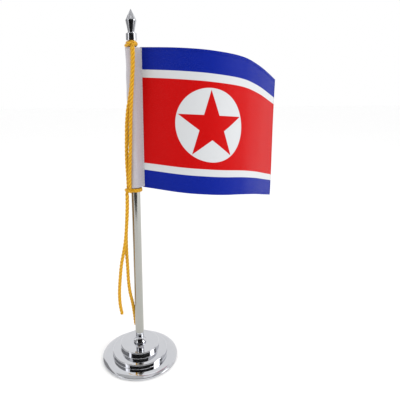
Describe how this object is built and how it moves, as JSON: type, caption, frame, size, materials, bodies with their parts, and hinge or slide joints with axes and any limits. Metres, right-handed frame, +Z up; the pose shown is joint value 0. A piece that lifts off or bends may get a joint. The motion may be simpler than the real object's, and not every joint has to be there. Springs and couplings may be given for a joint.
{
  "type": "desk flag stand",
  "caption": "Desk flag stand: weighted tiered chrome base, slim tubular pole with a pointed screwed finial, and a small sleeved flag tied on with a twisted gold cord.",
  "frame": {"origin": "centre of the felt pad's underside, where the stand rests on the desk", "axes": "+Z up along the pole; the flag flies towards +X and its billow faces -Y, the front"},
  "size_m": [0.21, 0.1017, 0.3775],
  "materials": {
    "chrome": "polished chrome plating",
    "iron": "rough cast iron",
    "felt": "dense black felt",
    "zinc_steel": "zinc plated steel",
    "nylon": "natural nylon",
    "satin": "printed polyester satin, soft sheen",
    "sleeve_cloth": "pale polyester cloth",
    "sewing_thread": "white polyester thread",
    "gold_cord": "three strand rayon cord, silky"
  },
  "bodies": {
    "base": {"felt_pad": "felt", "base_shell": "chrome", "ballast_disc": "iron", "base_screw": "zinc_steel", "lock_washer": "zinc_steel", "ferrule": "chrome"},
    "bush": {"spigot_bush": "nylon"},
    "pole": {"pole_tube": "chrome", "pole_cap": "chrome", "finial_stud": "zinc_steel"},
    "washer": {"finial_washer": "chrome"},
    "finial": {"finial": "chrome"},
    "flag": {"flag_sheet": "satin", "flag_sleeve": "sleeve_cloth", "seam_thread": "sewing_thread", "cord_top_hitch": "gold_cord", "cord_strand_left": "gold_cord", "cord_strand_right": "gold_cord", "cord_bottom_knot": "gold_cord", "cord_tail_left": "gold_cord", "cord_tail_right": "gold_cord"}
  },
  "joints": [
    {"name": "pole_turn", "type": "hinge", "parent": "base", "child": "bush", "pos_m": [0, 0, 0.03085], "axis": [0, 0, 1], "continuous": true},
    {"name": "pole_lift", "type": "slide", "parent": "bush", "child": "pole", "axis": [0, 0, 1], "range_m": [0, 0.028]},
    {"name": "flag_swivel", "type": "hinge", "parent": "pole", "child": "flag", "pos_m": [0, 0, 0.2029], "axis": [0, 0, 1], "continuous": true},
    {"name": "finial_rise", "type": "slide", "parent": "pole", "child": "washer", "axis": [0, 0, 1], "range_m": [0, 0.0084]},
    {"name": "finial_turn", "type": "hinge", "parent": "washer", "child": "finial", "pos_m": [0, 0, 0.3566], "axis": [0, 0, 1], "range_deg": [0, 4320]}
  ],
  "couplings": [
    {"joint": "finial_turn", "follows": "finial_rise", "rad_per_m": 8976}
  ]
}
